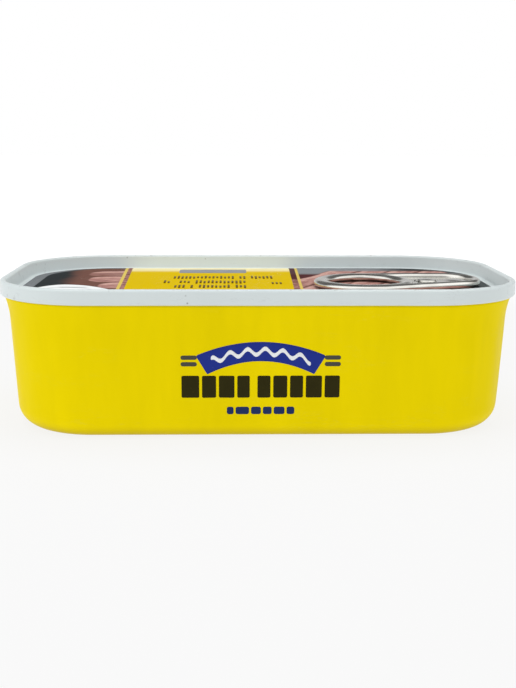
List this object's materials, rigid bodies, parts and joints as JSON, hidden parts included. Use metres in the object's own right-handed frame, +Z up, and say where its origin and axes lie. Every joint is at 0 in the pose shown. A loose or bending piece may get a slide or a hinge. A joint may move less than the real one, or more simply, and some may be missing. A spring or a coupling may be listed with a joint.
{
  "type": "rectangular food can",
  "caption": "Shallow rectangular food can with round corners, a tapered wall, a seamed easy-open lid and a ring-pull tab.",
  "frame": {"origin": "centre of the base, on the surface that the can stands on", "axes": "+X along the length towards the end with the tab's nose, +Y across the width away from the printed front, +Z up through the lid"},
  "size_m": [0.105, 0.06, 0.03],
  "materials": {
    "body": "gloss yellow lacquer with plain printed shapes on the front",
    "lid": "satin pale grey lacquer, panel printed with fields of colour",
    "tab": "bright rolled metal"
  },
  "bodies": {
    "root": {"can_body": "body", "lid": "lid", "pull_tab": "tab"}
  },
  "joints": []
}
